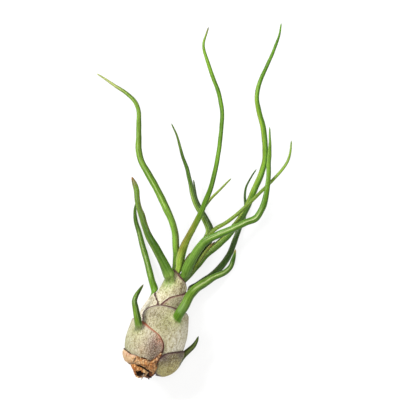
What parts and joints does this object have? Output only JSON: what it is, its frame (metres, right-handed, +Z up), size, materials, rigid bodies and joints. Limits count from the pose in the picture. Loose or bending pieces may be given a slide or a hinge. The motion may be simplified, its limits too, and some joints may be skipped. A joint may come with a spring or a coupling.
{
  "type": "air plant",
  "caption": "Bare bulb-forming air plant lying on its side, with a hollow bulb of pale leaf sheaths, long twisted round leaves and a dry brown base.",
  "frame": {"origin": "on the small flat spot under the belly of the bulb, at the height of the surface the plant lies on", "axes": "+Y from the bulb towards the tips of the leaves, +Z up from the surface"},
  "size_m": [0.0922, 0.1686, 0.0315],
  "materials": {
    "sheathed_leaf": "matt, scurfy on the sheath and satin on the blade",
    "inner_leaf": "satin",
    "dry_sheath": "matt, papery",
    "stem": "matt"
  },
  "bodies": {
    "root": {"stem": "stem", "dry_sheath_left": "dry_sheath", "dry_sheath_front": "dry_sheath", "leaf_neck_front": "sheathed_leaf", "leaf_left_low": "sheathed_leaf", "leaf_right_low": "sheathed_leaf", "leaf_right_finger": "sheathed_leaf", "leaf_front_pouch": "sheathed_leaf", "leaf_right_pouch": "sheathed_leaf", "leaf_front_long": "inner_leaf", "leaf_tall_middle": "inner_leaf", "leaf_long_left": "inner_leaf", "leaf_long_right": "inner_leaf", "leaf_thin_right": "inner_leaf", "leaf_thin_middle": "inner_leaf", "leaf_back_middle": "inner_leaf", "leaf_back_low": "inner_leaf", "leaf_short_middle": "inner_leaf", "leaf_withered": "inner_leaf"}
  },
  "joints": []
}
